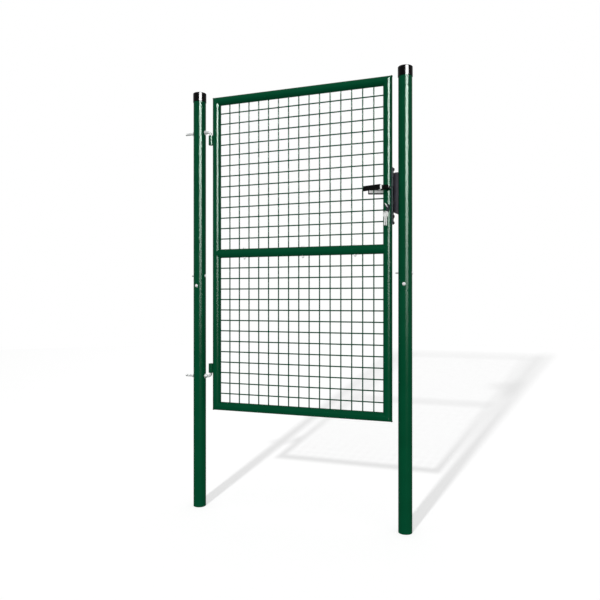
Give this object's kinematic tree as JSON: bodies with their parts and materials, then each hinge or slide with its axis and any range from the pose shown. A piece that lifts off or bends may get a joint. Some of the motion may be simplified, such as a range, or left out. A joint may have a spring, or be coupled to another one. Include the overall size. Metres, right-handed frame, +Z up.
{
  "type": "single-leaf garden gate with two posts",
  "caption": "Garden gate of round green tube with welded mesh panels, lever lock and keys, hung on hook hinges between two capped round posts.",
  "frame": {"origin": "centre of the flat foot of the hinge post", "axes": "+X towards the lock post, +Y to the side the leaf closes towards, +Z up; the leaf opens towards -Y"},
  "size_m": [1.11, 0.1205, 2],
  "materials": {
    "green_paint": "smooth glossy powder coat, dark green",
    "zinc": "bright zinc-plated steel",
    "black_gloss": "glossy black moulded plastic",
    "charcoal_plastic": "matte charcoal moulded plastic",
    "faceplate_paint": "satin dark teal-black paint on the lock's faceplate",
    "black_screws": "satin black screws",
    "nickel": "satin nickel on lock cylinder, bolts and keys"
  },
  "bodies": {
    "posts": {"hinge_post_lower": "green_paint", "hinge_post_upper": "green_paint", "hinge_post_coupling": "zinc", "hinge_post_cap": "black_gloss", "hinge_post_bolts": "zinc", "lock_post_lower": "green_paint", "lock_post_upper": "green_paint", "lock_post_coupling": "zinc", "lock_post_cap": "black_gloss", "lock_post_bolts": "zinc", "upper_hinge_hook": "zinc", "lower_hinge_hook": "zinc", "hinge_nuts": "zinc", "hinge_washers": "zinc", "keeper": "charcoal_plastic", "keeper_screws": "zinc"},
    "gate": {"hinge_stile": "green_paint", "lock_stile": "green_paint", "top_rail": "green_paint", "middle_rail": "green_paint", "bottom_rail": "green_paint", "upper_mesh": "green_paint", "lower_mesh": "green_paint", "upper_hinge_sleeve": "green_paint", "lower_hinge_sleeve": "green_paint", "middle_rail_bolts": "zinc", "middle_rail_nuts": "zinc", "lock_case": "faceplate_paint", "faceplate_screws": "black_screws", "dead_bolt": "nickel", "front_rose": "black_gloss", "back_rose": "black_gloss", "lock_cylinder": "nickel", "inserted_key": "nickel"},
    "lever": {"front_lever": "black_gloss", "back_lever": "black_gloss", "spindle": "zinc"},
    "latch": {"latch_bolt": "nickel"},
    "key_bunch": {"key_ring": "nickel", "hanging_keys": "nickel"}
  },
  "joints": [
    {"name": "gate_swing", "type": "hinge", "parent": "posts", "child": "gate", "pos_m": [0.062, 0, 1.2], "axis": [0, 0, -1], "range_deg": [0, 100]},
    {"name": "lever_turn", "type": "hinge", "parent": "gate", "child": "lever", "pos_m": [0.929, 0, 1.481], "axis": [0, -1, 0], "range_deg": [0, 40], "stiffness_Nm_per_rad": 0.5, "springref_deg": -34.38},
    {"name": "latch_slide", "type": "slide", "parent": "gate", "child": "latch", "axis": [-1, 0, 0], "range_m": [0, 0.01]},
    {"name": "key_swing", "type": "hinge", "parent": "gate", "child": "key_bunch", "pos_m": [0.929, -0.059, 1.402], "axis": [-1, 0, 0], "range_deg": [-20, 60]}
  ],
  "couplings": [
    {"joint": "latch_slide", "follows": "lever_turn", "m_per_rad": 0.0143}
  ]
}
